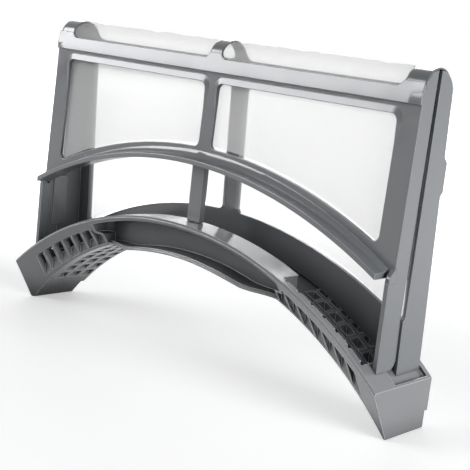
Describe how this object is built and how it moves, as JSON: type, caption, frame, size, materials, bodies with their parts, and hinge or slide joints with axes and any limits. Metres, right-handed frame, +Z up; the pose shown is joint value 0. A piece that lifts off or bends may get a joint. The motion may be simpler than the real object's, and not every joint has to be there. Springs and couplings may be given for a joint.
{
  "type": "tumble dryer lint filter",
  "caption": "Arched grip body with grille baskets and a finger pocket, carrying a folding mesh pouch of two framed screens joined over the top by flexible straps.",
  "frame": {"origin": "middle of the whole filter, on the plane that both feet stand on", "axes": "+X across the filter to its right end seen from the front, +Y from the front screen to the rear screen, +Z up from the feet to the folded top of the pouch"},
  "size_m": [0.33, 0.057, 0.209],
  "materials": {
    "grip_plastic": "satin moulded grey plastic",
    "screen_plastic": "satin moulded grey plastic",
    "strap_plastic": "thin flexible grey plastic",
    "mesh": "fine white woven nylon mesh"
  },
  "bodies": {
    "root": {"grip_body": "grip_plastic", "rear_frame": "screen_plastic", "rear_mesh_left": "mesh", "rear_mesh_right": "mesh", "hinge_strap_left": "strap_plastic", "hinge_strap_centre": "strap_plastic", "hinge_strap_right": "strap_plastic", "fold_mesh_left": "mesh", "fold_mesh_right": "mesh"},
    "front_screen": {"front_frame": "screen_plastic", "front_mesh_left": "mesh", "front_mesh_right": "mesh"}
  },
  "joints": [
    {"name": "front_screen_hinge", "type": "hinge", "parent": "root", "child": "front_screen", "pos_m": [0, 0.0037, 0.2084], "axis": [-1, 0, 0], "range_deg": [0, 75], "deforming": ["hinge_strap_left", "hinge_strap_centre", "hinge_strap_right", "fold_mesh_left", "fold_mesh_right"]}
  ]
}
